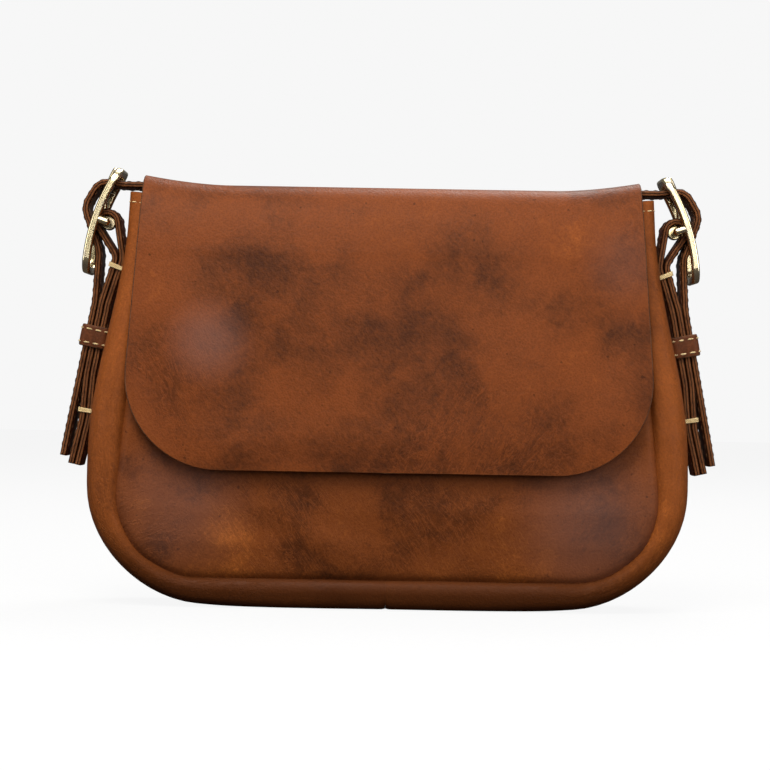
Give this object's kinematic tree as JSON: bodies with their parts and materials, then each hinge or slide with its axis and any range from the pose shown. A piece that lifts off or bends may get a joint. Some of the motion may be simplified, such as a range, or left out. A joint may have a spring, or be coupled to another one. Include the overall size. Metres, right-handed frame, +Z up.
{
  "type": "shoulder bag",
  "caption": "Small leather shoulder bag with a fold-over flap, side gussets, side buckles with sliding keepers, and a strap folded inside.",
  "frame": {"origin": "centre of the base, on the plane the bag stands on, midway between the side seams and on the middle plane of the gusset", "axes": "+X across the width to the viewer's right when the flap faces the viewer, -Y out of the flap side, +Z up"},
  "size_m": [0.2992, 0.0753, 0.1992],
  "materials": {
    "body_leather": "waxed pull-up leather, dark brown with tan marks, semi-gloss",
    "flap_leather": "waxed pull-up leather, dark brown, raw cut edge",
    "gusset_leather": "waxed pull-up leather, lighter red-brown, soft sheen",
    "lining_cloth": "plain weave cotton, matte",
    "zip_tape_cloth": "woven tape, matte",
    "thread": "waxed thread, cream",
    "buckle_brass": "polished, lightly worn",
    "snap_metal": "satin",
    "zip_metal": "satin"
  },
  "bodies": {
    "bag": {"front_panel": "body_leather", "back_panel": "body_leather", "gusset_left": "gusset_leather", "gusset_right": "gusset_leather", "lining_front": "lining_cloth", "lining_back": "lining_cloth", "inner_pocket": "lining_cloth", "zip_tape": "zip_tape_cloth", "zip_teeth": "zip_metal", "snap_socket": "snap_metal", "side_tab_left": "body_leather", "side_tab_right": "body_leather", "upper_bartack_left": "thread", "upper_bartack_right": "thread", "lower_bartack_left": "thread", "lower_bartack_right": "thread", "shoulder_strap": "body_leather"},
    "flap_top": {"flap_top": "flap_leather"},
    "flap_front": {"flap_front": "flap_leather", "snap_patch": "flap_leather", "snap_stud": "snap_metal"},
    "buckle_left": {"buckle_frame_left": "buckle_brass"},
    "buckle_right": {"buckle_frame_right": "buckle_brass"},
    "prong_left": {"prong_left": "buckle_brass"},
    "prong_right": {"prong_right": "buckle_brass"},
    "keeper_left": {"keeper_left": "body_leather"},
    "keeper_right": {"keeper_right": "body_leather"},
    "zip_slider": {"zip_slider": "zip_metal"},
    "zip_pull": {"zip_pull": "zip_metal"}
  },
  "joints": [
    {"name": "flap_fold", "type": "hinge", "parent": "bag", "child": "flap_top", "pos_m": [0, 0.02, 0.1903], "axis": [1, 0, 0], "range_deg": [-160, 0]},
    {"name": "flap_unroll", "type": "hinge", "parent": "flap_top", "child": "flap_front", "pos_m": [0, -0.0175, 0.1903], "axis": [1, 0, 0], "range_deg": [-80, 0]},
    {"name": "buckle_rock_left", "type": "hinge", "parent": "bag", "child": "buckle_left", "pos_m": [-0.1299, 0, 0.1736], "axis": [0, -1, 0], "range_deg": [-2, 1]},
    {"name": "prong_lift_left", "type": "hinge", "parent": "buckle_left", "child": "prong_left", "pos_m": [-0.1299, 0, 0.1736], "axis": [0, -1, 0], "range_deg": [0, 4]},
    {"name": "keeper_slide_left", "type": "slide", "parent": "bag", "child": "keeper_left", "axis": [0.1875, 0, 0.9823], "range_m": [-0.009, 0.009]},
    {"name": "buckle_rock_right", "type": "hinge", "parent": "bag", "child": "buckle_right", "pos_m": [0.1299, 0, 0.1736], "axis": [0, 1, 0], "range_deg": [-2, 1]},
    {"name": "prong_lift_right", "type": "hinge", "parent": "buckle_right", "child": "prong_right", "pos_m": [0.1299, 0, 0.1736], "axis": [0, 1, 0], "range_deg": [0, 4]},
    {"name": "keeper_slide_right", "type": "slide", "parent": "bag", "child": "keeper_right", "axis": [-0.1875, 0, 0.9823], "range_m": [-0.009, 0.009]},
    {"name": "zip_slide", "type": "slide", "parent": "bag", "child": "zip_slider", "axis": [1, 0, 0], "range_m": [0, 0.118]},
    {"name": "zip_pull_swing", "type": "hinge", "parent": "zip_slider", "child": "zip_pull", "pos_m": [-0.062, 0.01643, 0.141], "axis": [1, 0, 0], "range_deg": [-100, 0]}
  ],
  "couplings": [
    {"joint": "flap_unroll", "follows": "flap_fold", "ratio": 0.5}
  ]
}
